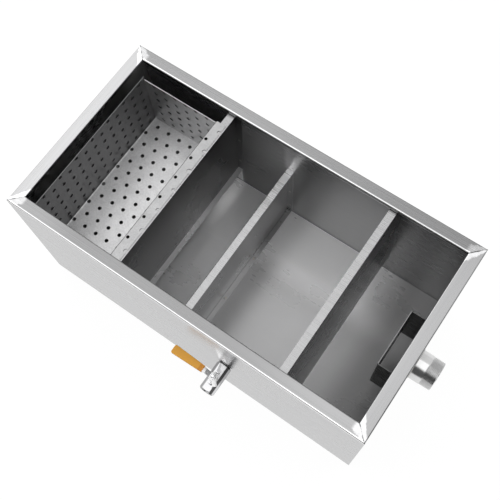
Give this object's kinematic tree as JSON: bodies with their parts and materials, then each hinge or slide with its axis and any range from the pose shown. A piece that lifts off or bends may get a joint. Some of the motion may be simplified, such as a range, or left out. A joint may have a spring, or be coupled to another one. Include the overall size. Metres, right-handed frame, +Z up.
{
  "type": "grease trap",
  "caption": "Open stainless steel grease trap with baffles, a hanging perforated basket, a hooded outlet pipe and a quarter-turn draw-off valve.",
  "frame": {"origin": "middle of the box's underside", "axes": "+X towards the outlet pipe, +Y towards the back wall, away from the valve, +Z up"},
  "size_m": [0.658, 0.3735, 0.285],
  "materials": {
    "box_sheet": "brushed sheet with ground welds",
    "baffle_sheet": "mill-finish sheet, folded",
    "perforated_sheet": "matt perforated sheet",
    "pipe_steel": "polished, turned",
    "valve_steel": "turned bar",
    "ball_steel": "mirror polished",
    "lever_steel": "zinc-bright pressed steel",
    "seat_plastic": "waxy white plastic",
    "grip_plastic": "soft dipped plastic, amber yellow"
  },
  "bodies": {
    "tank": {"floor_plate": "box_sheet", "front_panel": "box_sheet", "back_panel": "box_sheet", "inlet_panel": "box_sheet", "outlet_panel": "box_sheet", "inlet_baffle": "baffle_sheet", "weir_baffle": "baffle_sheet", "outlet_baffle": "baffle_sheet", "basket_pan": "perforated_sheet", "basket_end_front": "perforated_sheet", "basket_end_back": "perforated_sheet", "basket_ledge": "box_sheet", "outlet_hood": "baffle_sheet", "outlet_pipe": "pipe_steel", "valve_nipple": "pipe_steel", "valve_body": "valve_steel", "valve_insert": "valve_steel", "inner_seat": "seat_plastic", "outer_seat": "seat_plastic", "stem_packing": "seat_plastic", "gland_nut": "valve_steel"},
    "handle": {"valve_ball": "ball_steel", "valve_stem": "valve_steel", "valve_lever": "lever_steel", "lever_washer": "lever_steel", "lever_nut": "lever_steel", "grip_sleeve": "grip_plastic"}
  },
  "joints": [
    {"name": "valve_turn", "type": "hinge", "parent": "tank", "child": "handle", "pos_m": [0.076, -0.1895, 0.153], "axis": [0, 0, 1], "range_deg": [0, 90]}
  ]
}
